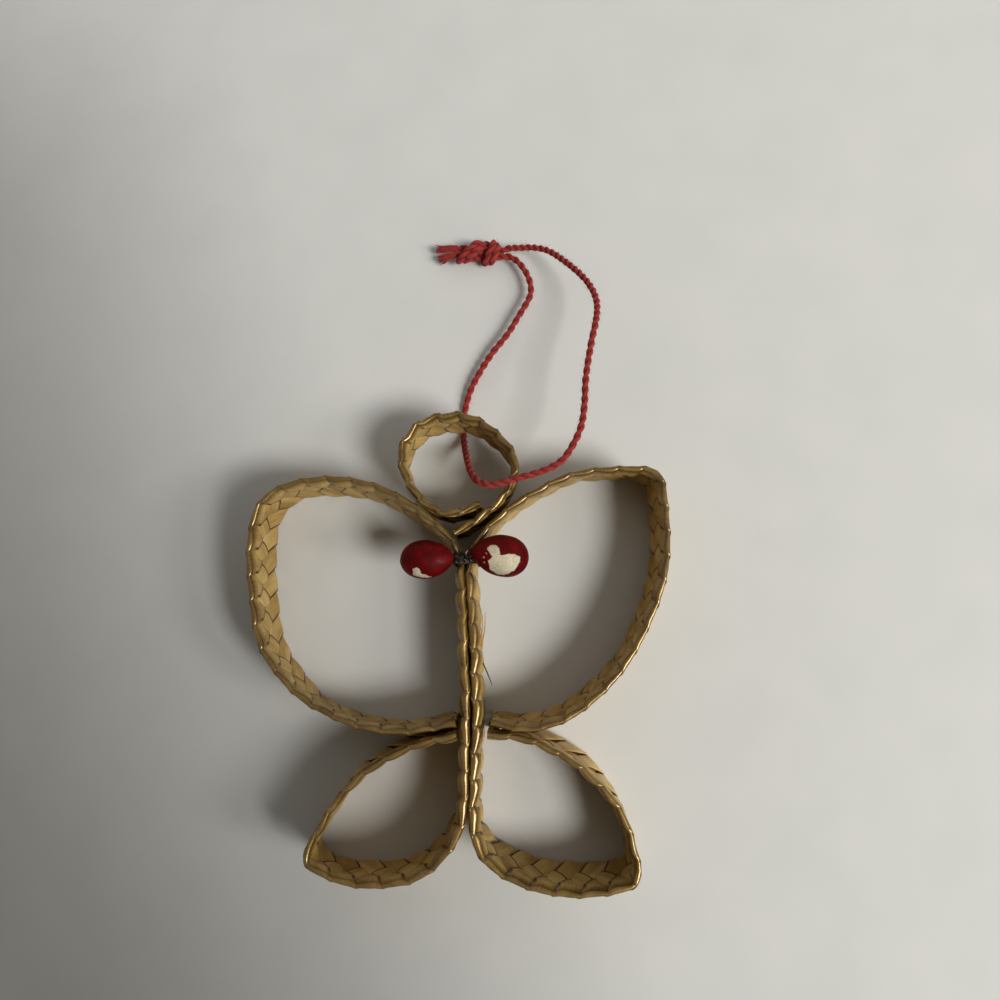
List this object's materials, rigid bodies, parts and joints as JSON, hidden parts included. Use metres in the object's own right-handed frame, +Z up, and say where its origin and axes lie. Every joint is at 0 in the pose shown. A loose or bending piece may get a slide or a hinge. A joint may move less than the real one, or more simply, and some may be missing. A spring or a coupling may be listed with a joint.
{
  "type": "straw ornament",
  "caption": "Plaited straw hanging ornament: a figure with butterfly wings and a ring head, lacquered berries wired at the neck and a red yarn loop to hang it by.",
  "frame": {"origin": "below the middle of the ornament, without its yarn, at the height of its underside", "axes": "+Z up out of the ornament as it lies flat, +Y from the lower wings to the head, +X to the right-hand wings"},
  "size_m": [0.0846, 0.1374, 0.0203],
  "materials": {
    "straw": "semi-gloss natural golden wheat straw",
    "red_lacquer": "glossy red lacquer over white pulp, chipped",
    "dark_wire": "dark annealed wire",
    "red_wool": "twisted wool yarn"
  },
  "bodies": {
    "root": {"left_plait": "straw", "right_plait": "straw", "head_plait": "straw", "left_berry": "red_lacquer", "right_berry": "red_lacquer", "binding_wire": "dark_wire", "hanging_yarn": "red_wool", "yarn_knot": "red_wool"}
  },
  "joints": []
}
